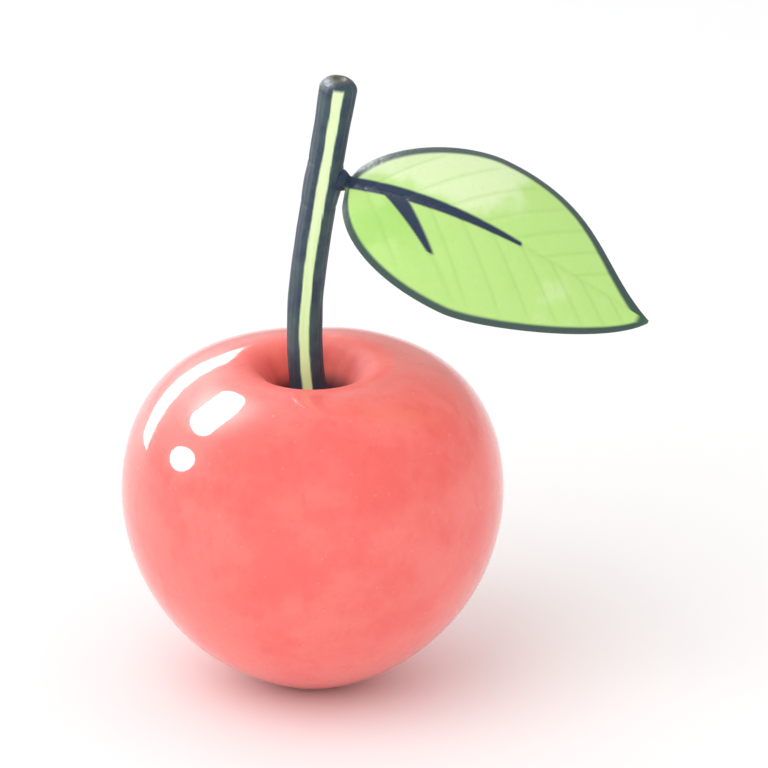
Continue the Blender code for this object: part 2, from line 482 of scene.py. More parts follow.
@dataclass(frozen=True)
class LeafFinish:
    """Fresh blade green with painted light on the far half, a dark midrib and a pale underside."""

    blade: Colour = (0.49, 0.745, 0.225)
    # Painted light on the far half near the stalk.
    light: Colour = (0.690, 0.835, 0.465)
    # Painted shade on the near half by the base; also the tone of the dark specks.
    deep: Colour = (0.405, 0.690, 0.165)
    vein: Colour = (0.33, 0.585, 0.140)
    rib: Colour = (0.020, 0.037, 0.078)
    margin: Colour = (0.026, 0.055, 0.072)
    under: Colour = (0.50, 0.87, 0.36)
    under_vein: Colour = (0.70, 0.95, 0.54)
    wash_grain: float = 0.0045
    speck_grain: float = 0.00045
    cell_grain: float = 0.00032
    cell_rise: float = 0.000012
    quilt_grain: float = 0.0009
    quilt_rise: float = 0.00003
    flesh_depth: float = 0.0004

    def dress(self, piece: Thing) -> None:
        """Gives the leaf this finish.

        Args:
            piece: The finished mesh.
        """
        bench = NodeBench("cherry_leaf")
        wash = bench.clouds(self.wash_grain, 3.0, 0.55)
        specks = bench.clouds(self.speck_grain, 2.0, 0.7)
        # Painted light and shade across the blade, under a random wash of tone.
        lightness = bench.sum("ADD", bench.mask("painted_light"), bench.fade(wash, 0.35, 0.65, -0.22, 0.22))
        vein, rib, margin = (bench.mask(name) for name in ("vein", "rib", "margin"))
        upper = bench.coats(
            self.blade,
            (bench.fade(lightness, 0.30, 0.85), self.light),
            (bench.fade(lightness, 0.12, -0.20), self.deep),
            (bench.fade(specks, 0.56, 0.74, 0.0, 0.20), self.deep),
            (bench.part(vein, 0.26), self.vein),
            (bench.part(margin, 0.95), self.margin),
            (rib, self.rib),
        )
        under = bench.coats(
            self.under,
            (bench.fade(specks, 0.40, 0.70, 0.0, 0.25), self.blade),
            (bench.part(bench.sum("MAXIMUM", vein, rib), 0.8), self.under_vein),
            (bench.part(margin, 0.85), self.margin),
        )
        on_top = bench.mask("upper")
        dull = bench.part(bench.sum("SUBTRACT", 1.0, on_top), 0.2)
        cells = bench.bump(bench.fade(bench.dots(self.cell_grain), 0.0, 0.7), self.cell_rise)
        looks = {
            "Base Color": bench.coats(under, (on_top, upper), (bench.mask("stalk"), self.rib)),
            "Roughness": bench.sum("ADD", bench.fade(wash, 0.3, 0.7, 0.38, 0.50), dull),
            "Normal": bench.bump(bench.clouds(self.quilt_grain, 2.0), self.quilt_rise, cells),
            "IOR": PLANT_IOR,
            "Specular IOR Level": 0.45,
            "Subsurface Weight": 0.10,
            "Subsurface Radius": (0.5, 1.0, 0.25),
            "Subsurface Scale": self.flesh_depth,
        }
        bench.dress(piece, looks)


@dataclass(frozen=True)
class FloorFinish:
    """Matt white board with a faint unevenness."""

    board: Colour = (0.955, 0.955, 0.955)
    shade: Colour = (0.940, 0.940, 0.942)
    grain: float = 0.05

    def dress(self, piece: Thing) -> None:
        """Gives the floor this finish.

        Args:
            piece: The finished mesh.
        """
        bench = NodeBench("studio_board")
        colour = bench.blend(bench.clouds(self.grain), self.board, self.shade)
        bench.dress(piece, {"Base Color": colour, "Roughness": 0.9, "Specular IOR Level": 0.1})


@dataclass
class Fruit:
    """The fruit: widest at its equator, with a rolled crest round the hollow that the stem grows from."""

    half_width: float
    half_depth: float
    crest_height: float
    equator_height: float = 0.0148
    crest_radius: float = 0.0054
    rest_radius: float = 0.0025
    rest_rounding: float = 0.0005
    hollow_depth: float = 0.0042
    floor_radius: float = 0.0019
    belly_angle: float = math.radians(18)
    belly_pulls: tuple[float, float] = (0.56, 0.38)
    shoulder_pulls: tuple[float, float] = (0.255, 0.91)
    hollow_pulls: tuple[float, float] = (0.62, 0.42)
    hollow_wall_angle: float = math.radians(62)
    suture_depth: float = 0.00025
    suture_width: float = 0.0020
    seam_depth: float = 0.00006
    seam_width: float = 0.00028
    lip_width: float = 0.0010
    pucker_rise: float = 0.00009
    swell_rise: float = 0.00006
    swell_grain: float = 0.0075
    scar_radius: float = 0.0007
    scar_depth: float = 0.00030
    scar_nub: float = 0.00018
    segments: int = 288
    suture_crowding: float = 0.35
    underside_steps: int = 15
    rounding_steps: int = 7
    belly_steps: int = 66
    shoulder_steps: int = 72
    hollow_steps: int = 40
    floor_shares: tuple[float, ...] = (0.85, 0.6, 0.3, 0.1)
    finish: SkinFinish = SkinFinish()

    def belly(self) -> list[Vector]:
        """The profile from the rest spot's rounded edge up to the equator.

        Returns:
            (radius, height) points.
        """
        edge = Vector((self.rest_radius, 0))
        equator = Vector((self.half_width, self.equator_height))
        outwards = heading(self.belly_angle)
        start_pull, end_pull = (pull * self.equator_height for pull in self.belly_pulls)
        curve = bend(edge, outwards * start_pull, Vector((0, -end_pull)), equator, self.belly_steps)
        rounding_start = edge - Vector((self.rest_rounding, 0))
        rounding_end = edge + outwards * self.rest_rounding
        rounding = interpolate_bezier(
            rounding_start,
            rounding_start.lerp(edge, 2 / 3),
            rounding_end.lerp(edge, 2 / 3),
            rounding_end,
            self.rounding_steps,
        )
        return rounding + [point for point in curve if point.x > rounding_end.x + 0.0001]

    def shoulder(self) -> list[Vector]:
        """The profile from the equator over to the crest.

        Returns:
            (radius, height) points.
        """
        equator = Vector((self.half_width, self.equator_height))
        crest = Vector((self.crest_radius, self.crest_height))
        rise = self.shoulder_pulls[0] * (self.crest_height - self.equator_height)
        run = self.shoulder_pulls[1] * (self.half_width - self.crest_radius)
        return bend(equator, Vector((0, rise)), Vector((run, 0)), crest, self.shoulder_steps)

    def hollow(self) -> list[Vector]:
        """The profile from the crest down to the edge of the hollow's floor.

        Returns:
            (radius, height) points.
        """
        crest = Vector((self.crest_radius, self.crest_height))
        floor = Vector((self.floor_radius, self.crest_height - self.hollow_depth))
        run = self.hollow_pulls[0] * (self.crest_radius - self.floor_radius)
        wall = heading(self.hollow_wall_angle) * (self.hollow_pulls[1] * self.hollow_depth)
        return bend(crest, Vector((-run, 0)), wall, floor, self.hollow_steps)

    def profile(self) -> list[Vector]:
        """The profile from the middle of the underside to the middle of the hollow's floor.

        Returns:
            (radius, height) points.
        """
        underside = []
        for step in range(1, self.underside_steps):
            radius = (self.rest_radius - self.rest_rounding) * step / self.underside_steps
            dent = self.scar_depth * bell(radius, self.scar_radius)
            nub = self.scar_nub * bell(radius, 0.3 * self.scar_radius)
            underside.append(Vector((radius, dent - nub)))
        floor_height = self.crest_height - self.hollow_depth
        floor = [Vector((self.floor_radius * share, floor_height)) for share in self.floor_shares]
        return underside + self.belly() + self.shoulder()[1:] + self.hollow()[1:] + floor

    def turns(self) -> list[float]:
        """Angles round the fruit, closest together at the suture, which is at its back."""
        steps = (2 * math.pi * i / self.segments - math.pi for i in range(self.segments))
        return [math.pi / 2 + step - self.suture_crowding * math.sin(step) for step in steps]

    def unevenness(self, place: Vector, turn: float, into_hollow: float, from_suture: float) -> float:
        """How far the skin stands proud of its smooth shape.

        Args:
            place: The point on the smooth shape.
            turn: Its angle round the fruit.
            into_hollow: 0 outside, rising to 1 at the hollow's floor.
            from_suture: Its distance from the suture, round the fruit.

        Returns:
            A distance along the skin's normal.
        """
        swell = self.swell_rise * ripple(place, self.swell_grain)
        folds = 0.6 * math.cos(9 * turn + 2.5 * ripple(place, 0.004, 3.0)) + 0.4 * math.cos(16 * turn + 1.0)
        pucker = self.pucker_rise * folds * math.sin(math.pi * min(1.0, into_hollow)) ** 1.5
        seam = self.seam_depth * bell(from_suture, self.seam_width) * smooth_step(place.z, 0.0010, 0.0040)
        return swell * smooth_step(place.z, 0.0, 0.003) + pucker - seam

    def ring(self, spot: Vector, outward: Vector, into_hollow: float) -> tuple[list[Vector], list[float]]:
        """One ring of the skin: round at the hollow's floor, flatter outside it, and nicked at the back.

        Args:
            spot: Its (radius, height).
            outward: The profile's normal there, as (radius, height).
            into_hollow: 0 outside, rising to 1 at the hollow's floor.

        Returns:
            The ring's points, and for each the suture mask.
        """
        outside_floor = smooth_step(spot.x, self.floor_radius, self.crest_radius)
        near_equator = smooth_step(spot.x, self.crest_radius, self.half_width)
        depth_share = 1 - outside_floor * (1 - self.half_depth / self.half_width)
        points, suture = [], []
        for turn in self.turns():
            from_suture = math.remainder(turn - math.pi / 2, 2 * math.pi) * spot.x
            over_crest = 0.6 * outside_floor * smooth_step(spot.y, self.equator_height, self.crest_height)
            nick = self.suture_depth * max(near_equator, over_crest) * bell(from_suture, self.suture_width)
            across = Vector((math.cos(turn), depth_share * math.sin(turn)))
            place = Vector((*(spot.x * across), spot.y))
            normal = Vector((outward.x * across.x, outward.x * across.y, outward.y))
            proud = self.unevenness(place, turn, into_hollow, from_suture)
            points.append(place + normal * (proud - nick))
            line = bell(from_suture, 2.2 * self.seam_width) * smooth_step(spot.y, 0.0006, 0.0030)
            suture.append(line * (1 - smooth_step(into_hollow, 0.4, 0.9)))
        return points, suture

    def build(self) -> Thing:
        """Builds the skin and dresses it.

        Returns:
            The piece, which stands for the solid fruit.
        """
        profile = self.profile()
        rim = len(profile) - len(self.hollow()[1:]) - len(self.floor_shares)
        skin = Skin("cherry_fruit")
        for index, spot in enumerate(profile):
            before = profile[max(index - 1, 0)]
            after = profile[min(index + 1, len(profile) - 1)]
            along = (after - before).normalized()
            # How far down into the hollow a ring lies; the skin's finish paints shade deep in the hollow by
            # it.
            sunk = (self.crest_height - spot.y) / self.hollow_depth if index >= rim else 0.0
            points, suture = self.ring(spot, Vector((along.y, -along.x)), sunk)
            under = index < rim and spot.y < 0.001
            scar = bell(spot.x, 1.3 * self.scar_radius) if under else 0.0
            near_lip = smooth_step(spot.x, self.crest_radius + self.lip_width, self.crest_radius)
            lip = near_lip * smooth_step(spot.y, 0.9 * self.equator_height, self.crest_height)
            skin.add_ring(points, suture=suture, **even(len(points), hollow=sunk, scar=scar, lip=lip))
        piece = skin.build()
        self.finish.dress(piece)
        return piece


@dataclass
class Stem:
    """The stem: it leans one way as it leaves the hollow and the other way at its cut end."""

    foot: Vector
    length: float = 0.0260
    radius: float = 0.00127
    foot_radius: float = 0.00160
    foot_height: float = 0.0030
    tip_radius: float = 0.00138
    tip_height: float = 0.0050
    tip_rounding: float = 0.0009
    shift: Vector = field(default_factory=lambda: Vector((0.0020, 0.0012, 0.0)))
    foot_lean: float = math.radians(-10)
    tip_lean: float = math.radians(8.4)
    pulls: tuple[float, float] = (0.32, 0.51)
    root_depth: float = 0.0006
    leaf_below_tip: float = 0.0081
    node_rise: float = 0.00020
    node_height: float = 0.0011
    flute_rise: float = 0.000028
    fibre_rise: float = 0.000012
    lump_rise: float = 0.000035
    scale_scar_depth: float = 0.00003
    collar_height: float = 0.0011
    collar_rise: float = 0.00006
    collar_groove: float = 0.00008
    collar_groove_above: float = 0.0003
    cut_dish: float = 0.00014
    segments: int = 112
    stations: int = 300
    rounding_steps: int = 14
    finish: StemFinish = StemFinish()

    def line(self, count: int) -> list[Vector]:
        """Points up the stem's middle, measured from its foot.

        Args:
            count: How many points, both ends included.

        Returns:
            The points, foot first.
        """
        tip = self.shift + Vector((0, 0, self.length))
        leaving = Vector((math.tan(self.foot_lean), 0, 1)) * (self.pulls[0] * self.length)
        arriving = Vector((math.tan(self.tip_lean), 0, 1)) * (-self.pulls[1] * self.length)
        return bend(Vector(), leaving, arriving, tip, count)

    def middle_at(self, height: float) -> Vector:
        """The stem's middle at a height.

        Args:
            height: Above the foot.

        Returns:
            The point, measured from the foot.
        """
        line = self.line(self.stations)
        for before, after in zip(line, line[1:]):
            if height <= after.z:
                return before.lerp(after, (height - before.z) / (after.z - before.z))
        return line[-1]

    def radius_at(self, height: float) -> float:
        """The plain radius: flared at the foot and swollen at the cut end.

        Args:
            height: Above the foot.

        Returns:
            The radius without its relief.
        """
        flare = (self.foot_radius - self.radius) * (1 - smooth_step(height, 0.0, self.foot_height))
        near_tip = smooth_step(height, self.length - self.tip_height, self.length)
        return self.radius + flare + (self.tip_radius - self.radius) * near_tip

    def relief(self, height: float, turn: float) -> float:
        """How far the bark stands proud of its plain radius.

        Args:
            height: Above the foot.
            turn: The angle round the stem, 0 on the side that the leaf grows on.

        Returns:
            A distance outwards.
        """
        node = height - (self.length - self.leaf_below_tip)
        towards_leaf = 0.30 + 0.70 * max(0.0, math.cos(turn)) ** 2
        bulge = self.node_rise * bell(node, self.node_height) * towards_leaf
        scar = self.scale_scar_depth
        scale_scar = -scar * bell(node - 0.0016, 0.00016) - scar * bell(node + 0.0017, 0.00014)
        collar = self.collar_rise * bell(height - 0.8 * self.collar_height, 0.0004)
        collar -= self.collar_groove * bell(height - self.collar_height - self.collar_groove_above, 0.00014)
        wander = 1.2 * ripple(Vector((0, 0, height)), 0.006, 5.0)
        flutes = self.flute_rise * math.cos(6 * turn + wander)
        fibres = self.fibre_rise * math.cos(17 * turn + 3 * wander)
        lumps = self.lump_rise * ripple(Vector((math.cos(turn), math.sin(turn), height / 0.002)), 1.0, 7.0)
        return bulge + scale_scar + collar + flutes + fibres + lumps

    def ring(self, centre: Vector, ahead: Vector, plain_radius: float, proud: float = 1.0) -> list[Vector]:
        """One ring of the bark, square to the stem.

        Args:
            centre: The stem's middle, measured from the foot.
            ahead: The way that the stem grows there.
            plain_radius: The radius without its relief.
            proud: The share of the relief that shows.

        Returns:
            The ring's points, in place.
        """
        side = Vector((0, 1, 0)).cross(ahead).normalized()
        back = ahead.cross(side).normalized()
        points = []
        for turn in self.turns():
            reach = plain_radius + proud * self.relief(centre.z, turn)
            points.append(self.foot + centre + reach * (side * math.cos(turn) + back * math.sin(turn)))
        return points

    def turns(self) -> list[float]:
        """Angles round the stem, from the side that the leaf grows on."""
        return [2 * math.pi * i / self.segments for i in range(self.segments)]

    def masks(self, height: float, cut: float) -> dict[str, list[float]]:
        """The masks of one ring.

        Args:
            height: Above the foot.
            cut: How much of the ring is the cut end's face.

        Returns:
            For each mask's name, one share for each point.
        """
        # Where the groove above the collar lies, painted dark as shade.
        ring = bell(height - self.collar_height - self.collar_groove_above, 0.00022)
        # How far each point lies on a flank, where shade is painted.
        flank = [abs(math.cos(turn)) for turn in self.turns()]
        return {"flank": flank} | even(self.segments, height=height / self.length, cut=cut, ring=ring)

    def build(self) -> Thing:
        """Builds the bark and dresses it.

        Returns:
            The piece, which stands for the solid stem.
        """
        line = self.line(self.stations)
        upright = Vector((0, 0, 1))
        bark = Skin("cherry_stem")
        for share in (1.0, 0.5):
            sunk = -share * self.root_depth
            bark.add_ring(self.ring(Vector((0, 0, sunk)), upright, self.foot_radius), **self.masks(0.0, 0.0))
        bark.add_ring(self.ring(line[0], upright, self.radius_at(0.0)), **self.masks(0.0, 0.0))
        for below, centre, above in zip(line, line[1:], line[2:]):
            if self.length - centre.z > self.tip_rounding:
                ahead = upright.lerp((above - below).normalized(), smooth_step(centre.z, 0.0, 0.0015))
                points = self.ring(centre, ahead.normalized(), self.radius_at(centre.z))
                bark.add_ring(points, **self.masks(centre.z, 0.0))
        self.add_cut_end(bark, line[-1], (line[-1] - line[-2]).normalized())
        piece = bark.build()
        self.finish.dress(piece)
        return piece

    def add_cut_end(self, bark: Skin, end: Vector, ahead: Vector) -> None:
        """Adds the rounded rim of the cut end and its slightly dished face.

        Args:
            bark: The surface to add to.
            end: The stem's middle at its end, measured from the foot.
            ahead: The way that the stem points there.
        """
        steps = self.rounding_steps
        for step in range(steps + 1):
            turn = 0.5 * math.pi * step / steps
            inset = self.tip_rounding * (1 - math.cos(turn))
            centre = end - ahead * (self.tip_rounding * (1 - math.sin(turn)))
            points = self.ring(centre, ahead, self.tip_radius - inset, math.cos(turn))
            bark.add_ring(points, **self.masks(centre.z, smooth_step(step, 8, steps)))
        face_radius = self.tip_radius - self.tip_rounding
        for share in (0.85, 0.65, 0.45, 0.25, 0.1):
            sunk = self.cut_dish * (1 - share * share)
            points = self.ring(end - ahead * sunk, ahead, face_radius * share, 0.0)
            bark.add_ring(points, **self.masks(end.z, 1.0))


class Side(Enum):
    """The two halves of the blade, by the sign of the distance from the midrib."""

    FAR = 1
    NEAR = -1


@dataclass(frozen=True)
class Edge:
    """One side of the blade's outline: how it leaves the stalk, its widest place and its tip."""

    width: float
    start_pull: float
    start_angle: float
    before: float
    after: float
    end_pull: float
    tip_angle: float
    margin: float
    steps: int = 60

    def points(self, base: Vector, widest_at: float, length: float) -> list[Vector]:
        """The outline.

        Args:
            base: Where it starts, as (distance along the leaf, half width).
            widest_at: The distance along the leaf of its widest place.
            length: The leaf's length.

        Returns:
            (distance along the leaf, half width) points, base to tip.
        """
        widest = Vector((widest_at, self.width))
        tip = Vector((length, 0))
        leaving = heading(self.start_angle) * (self.start_pull * self.width)
        back = Vector((-math.cos(self.tip_angle), math.sin(self.tip_angle)))
        arriving = back * (self.end_pull * (length - widest_at))
        onto_widest = Vector((-self.before * (widest_at - base.x), 0))
        off_widest = Vector((self.after * (length - widest_at), 0))
        rising = bend(base, leaving, onto_widest, widest, self.steps)
        return rising + bend(widest, off_widest, arriving, tip, self.steps)[1:]


@dataclass
class EdgeReader:
    """Reads the half width of one side of the blade at any distance along the leaf."""

    points: list[Vector]
    slant_step: float = 0.00015

    def at(self, along: float) -> float:
        """The half width, by straight lines between the points.

        Args:
            along: The distance along the leaf.

        Returns:
            The half width there.
        """
        if along <= self.points[0].x:
            return self.points[0].y
        for before, after in zip(self.points, self.points[1:]):
            if along <= after.x:
                share = (along - before.x) / max(after.x - before.x, 1e-9)
                return before.y + share * (after.y - before.y)
        return self.points[-1].y

    def slant(self, along: float) -> float:
        """What a distance across the leaf shrinks by when it is measured square to the edge instead."""
        before, after = along - self.slant_step, along + self.slant_step
        return math.cos(math.atan2(self.at(after) - self.at(before), after - before))


@dataclass(frozen=True)
class Vein:
    """A side vein: it leaves the midrib at its start and runs forward to the margin."""

    side: Side
    start: float
    slope: float
    curve: float = 14.0
    width: float = 0.00014
    bold_width: float = 0.0
    bold_reach: float = 0.0

    def distance(self, along: float, out: float) -> float:
        """How far a point lies from the vein's line.

        Args:
            along: The point's distance along the leaf.
            out: Its distance from the midrib.

        Returns:
            The distance square to the vein, positive towards the tip.
        """
        line = self.start + self.slope * out + self.curve * out * out
        lean = math.atan2(1.0, self.slope + 2 * self.curve * out)
        return (along - line) * math.sin(lean)

    def fine(self, along: float, out: float, edge: float) -> float:
        """The vein's strength as a fine line, which fades out before the margin at edge."""
        return bell(self.distance(along, out), self.width) * smooth_step(out / edge, 0.97, 0.70)

    def bold(self, along: float, out: float) -> float:
        """The strength of the broad dark stretch that tapers away from the midrib, if it has one.

        Args:
            along: A point's distance along the leaf.
            out: Its distance from the midrib.

        Returns:
            A share from 0 to 1.
        """
        if not self.bold_reach:
            return 0.0
        share = min(1.0, out / self.bold_reach)
        half = self.bold_width * (1 - share) + self.width * share
        away = math.hypot(self.distance(along, out), max(0.0, out - self.bold_reach))
        return smooth_step(away, half + SOFT_EDGE, half - SOFT_EDGE)


@dataclass
class Leaf:
    """The leaf: a short stalk out of the stem that widens into a thin blade, bowed and drooping."""

    stem: Stem
    length: float = 0.0243
    roll: float = math.radians(40)
    droop: float = math.radians(23.6)
    turn: float = math.radians(-7.7)
    gap: float = 0.0003
    bow: float = 0.00035
    arch: float = 0.0022
    arch_skew: float = 0.5
    stalk_radius: float = 0.00055
    stalk_flare: float = 0.00030
    stalk_root: float = 0.0011
    round_until: float = -0.0002
    blade_from: float = 0.0001
    blade_formed_at: float = 0.0004
    stalk_dark_until: float = 0.0003
    thickness: float = 0.00034
    start_width: float = 0.0006
    widest_at: float = 0.0100
    fold: float = math.radians(4)
    curl_radius: float = 0.0083
    rib_rise: float = 0.00036
    rib_width: float = 0.00045
    rib_tip_width: float = 0.00018
    groove_depth: float = 0.00013
    dark_rib_width: float = 0.00050
    dark_rib_end_width: float = 0.00017
    dark_rib_length: float = 0.0132
    dark_tip: float = 0.0012
    vein_depth: float = 0.00003
    vein_rise: float = 0.00008
    puff: float = 0.00004
    segments: int = 280
    stations: int = 300
    root_stations: int = 10
    crowding: float = 1.4
    far_edge: Edge = Edge(
        width=0.0066,
        start_pull=0.435,
        start_angle=math.radians(78.7),
        before=0.29,
        after=0.56,
        end_pull=0.41,
        tip_angle=math.radians(19.3),
        margin=0.00085,
    )
    near_edge: Edge = Edge(
        width=0.00675,
        start_pull=0.48,
        start_angle=math.radians(88),
        before=0.61,
        after=0.24,
        end_pull=0.27,
        tip_angle=math.radians(60),
        margin=0.00052,
    )
    finish: LeafFinish = LeafFinish()

    def veins(self) -> list[Vein]:
        """The side veins of both halves.

        Returns:
            One near the stalk that is broad and dark, and then the fine ones.
        """
        veins = [Vein(Side.NEAR, 0.00315, 1.20, 6.0, 0.00020, 0.00064, 0.0034)]
        for step in range(7):
            slope = 0.85 + 0.09 * step
            veins.append(Vein(Side.FAR, 0.0017 + 0.0027 * step, slope))
            veins.append(Vein(Side.NEAR, 0.0058 + 0.0025 * step, slope + 0.06))
        veins.append(Vein(Side.NEAR, 0.0011, 0.80))
        return veins

    def middle(self, along: float) -> Vector:
        """The midrib: it bows sideways and arches, most near the stalk.

        Args:
            along: The distance along the leaf.

        Returns:
            Its middle in the leaf's own frame.
        """
        share = max(0.0, along / self.length)
        swell = 4 * share * (1 - share) * (1 + self.arch_skew * (1 - 2 * share))
        return Vector((along, self.bow * swell, self.arch * swell))

    def lift(self, side: float) -> float:
        """How far the blade stands above its midrib at a distance to the side."""
        return math.tan(self.fold) * abs(side) - side * side / (2 * self.curl_radius)

    def distances(self) -> list[float]:
        """Where the sections lie: closest together where the stalk turns into the blade.

        Returns:
            The distances, from the root in the stem to just short of the tip.
        """
        count = self.root_stations
        root = [-self.stalk_root * (1 - step / count) for step in range(count)]
        run = self.length - self.round_until
        shares = ((step / self.stations) ** self.crowding for step in range(self.stations))
        blade = [self.round_until + run * share for share in shares]
        return root + [0.0] + blade

    def reader(self, edge: Edge) -> EdgeReader:
        """The half widths of one side, ready to be read in order along the leaf."""
        base = Vector((self.blade_from, self.start_width))
        return EdgeReader(edge.points(base, self.widest_at, self.length))

    def dark_rib(self, along: float, side: float) -> float:
        """The strength of the midrib's dark line, which tapers and ends before the tip.

        Args:
            along: A point's distance along the leaf.
            side: Its distance from the midrib.

        Returns:
            A share from 0 to 1.
        """
        share = min(1.0, max(0.0, along / self.dark_rib_length))
        half = self.dark_rib_width + (self.dark_rib_end_width - self.dark_rib_width) * share**2.2
        away = math.hypot(side, max(0.0, along - self.dark_rib_length))
        return smooth_step(away, half + SOFT_EDGE, half - SOFT_EDGE)

    def section(
        self, along: float, readers: dict[Side, EdgeReader], veins: list[Vein]
    ) -> tuple[list[Vector], dict[str, list[float]]]:
        """One closed section across the leaf: round in the stalk, thin and veined in the blade.

        Args:
            along: Its distance along the leaf.
            readers: The half widths of each side.
            veins: The side veins.

        Returns:
            The ring's points in the leaf's own frame, and its masks.
        """
        spread = smooth_step(along, self.round_until, self.blade_formed_at)
        left = max(0.0, 1 - along / self.length)
        rib_width = self.rib_tip_width + (self.rib_width - self.rib_tip_width) * left
        stalk = self.stalk_radius + self.stalk_flare * bell(along + 0.0006, 0.0005)
        centre = self.middle(along)
        widths = {half: reader.at(along) for half, reader in readers.items()}
        slants = {half: reader.slant(along) for half, reader in readers.items()}
        margins = {Side.FAR: self.far_edge.margin, Side.NEAR: self.near_edge.margin}
        at_tip = smooth_step(along, self.length - self.dark_tip, self.length - 0.6 * self.dark_tip)
        points: list[Vector] = []
        names = ("rib", "vein", "margin", "upper", "painted_light")
        stalk_share = 1 - smooth_step(along, self.round_until, self.stalk_dark_until)
        masks: dict[str, list[float]] = {name: [] for name in names}
        masks |= even(self.segments, stalk=stalk_share)
        for index in range(self.segments):
            turn = 2 * math.pi * index / self.segments
            across, up = math.cos(turn), math.sin(turn)
            half = Side.FAR if across > 0 else Side.NEAR
            edge = widths[half]
            side = edge * across * math.sqrt(abs(across))
            out, inset = abs(side), edge - abs(side)
            mine = [vein for vein in veins if vein.side is half]
            fine = max((vein.fine(along, out, max(edge, 1e-5)) for vein in mine), default=0.0)
            bold = max((vein.bold(along, out) for vein in mine), default=0.0)
            nearest = min((abs(vein.distance(along, out)) for vein in mine), default=1.0)
            midrib = bell(side, rib_width)
            rounded = math.sqrt(max(0.0, 1 - (out / max(edge, 1e-6)) ** 8))
            inner = smooth_step(inset, 0.0, 0.0012)
            puff = self.puff * inner * (1 - bell(min(nearest, out), 0.0007))
            half_thick = 0.5 * self.thickness * rounded * min(1.0, 6 * left)
            if up >= 0:
                groove = self.groove_depth * math.sqrt(left) * midrib
                height = half_thick + puff - inner * (groove + self.vein_depth * max(fine, 1.6 * bold))
            else:
                ridge = self.rib_rise * left * midrib
                height = puff - half_thick - ridge - inner * self.vein_rise * max(fine, bold)
            in_stalk = Vector((0, stalk * across, stalk * up))
            in_blade = Vector((0, side, self.lift(side) + height))
            place = in_stalk.lerp(in_blade, spread)
            points.append(centre + place)
            masks["rib"].append(max(self.dark_rib(along, place.y), bold * spread))
            masks["vein"].append(spread * max(fine, 0.8 * bell(side, 0.5 * rib_width)))
            margin = margins[half]
            at_edge = smooth_step(inset * slants[half], margin, 0.6 * margin)
            masks["margin"].append(spread * max(at_edge, at_tip))
            masks["upper"].append(smooth_step(up, -0.04, 0.04))
            # Where light is painted on the far half and shade by the base of the near half.
            masks["painted_light"].append(self.lightness(along / self.length, side / self.near_edge.width))
        return points, masks

    def lightness(self, along_share: float, side_share: float) -> float:
        """How light the blade's green is, as painted light and shade: most on the far half near the stalk,
        least on the near half.

        Args:
            along_share: A point's distance along the leaf, in shares of its length.
            side_share: Its distance from the midrib, in shares of the near half, positive on the far half.

        Returns:
            The lightness, from about -0.2 to 1.2.
        """
        # Painted light on the far half near the stalk and painted shade by the base of the near half; the
        # blade also grows lighter towards the tip.
        towards_far = smooth_step(side_share, -0.10, 0.35)
        near_stalk = smooth_step(along_share, 0.62, 0.22)
        near_base = smooth_step(side_share, 0.05, -0.25) * smooth_step(along_share, 0.30, 0.08)
        towards_tip = smooth_step(along_share, 0.55, 0.95)
        return 0.25 + 0.75 * towards_far * near_stalk - 0.45 * near_base + 0.18 * towards_tip

    def place(self) -> Matrix:
        """Where the leaf grows: beside the stem, at its own height and turned its own way.

        Returns:
            What takes the leaf's own frame to its place.
        """
        node = self.stem.middle_at(self.stem.length - self.stem.leaf_below_tip)
        outwards = heading(self.turn).to_3d()
        reach = self.stem.radius_at(node.z) / math.cos(self.stem.tip_lean) + self.gap
        reach += self.stalk_radius * math.sin(self.droop)
        turned = Euler((self.roll, self.droop, self.turn)).to_matrix().to_4x4()
        return Matrix.Translation(self.stem.foot + node + outwards * reach) @ turned

    def build(self) -> Thing:
        """Builds the blade with its stalk and dresses it.

        Returns:
            The piece, which stands for the solid leaf.
        """
        placed = self.place()
        veins = self.veins()
        readers = {Side.FAR: self.reader(self.far_edge), Side.NEAR: self.reader(self.near_edge)}
        blade = Skin("cherry_leaf")
        for along in self.distances():
            points, masks = self.section(along, readers, veins)
            blade.add_ring([placed @ point for point in points], **masks)
        piece = blade.build()
        self.finish.dress(piece)
        return piece


class Reach(Enum):
    """What a lamp adds to: light on every surface, or only its own mirror image in a glossy one."""

    LIGHT = "light"
    GLOSS = "gloss"


@dataclass(frozen=True)
class Lamp:
    """A soft oval lamp: where it hangs, which way lies behind it, its size and its turn about that way."""

    name: str
    place: Vector
    behind: Vector
    length: float
    width: float
    roll: float
    brightness: float
    reach: Reach

    def hang(self) -> None:
        """Hangs the lamp."""
        light = bpy.data.lights.new(self.name, "AREA")
        light.shape = "ELLIPSE"
        light.size = self.length
        light.size_y = self.width
        light.energy = self.brightness * math.pi * (math.pi * self.length * self.width / 4)
        lamp = put(self.name, light)
        lamp.location = self.place
        facing = self.behind.to_track_quat("Z", "Y").to_matrix()
        lamp.rotation_euler = (facing @ Matrix.Rotation(self.roll, 3, "Z")).to_euler()
        lamp.visible_camera = False
        lamp.visible_diffuse = self.reach is Reach.LIGHT
        lamp.visible_glossy = self.reach is Reach.GLOSS


@dataclass(frozen=True)
class Gleam:
    """An oval gleam on the skin as it looks from the front, in shares of the fruit's half width.

    Its middle is measured from the middle of the fruit at its equator. Its tilt lifts its right end.
    """

    middle: Vector
    length: float
    width: float
    tilt: float = 0.0


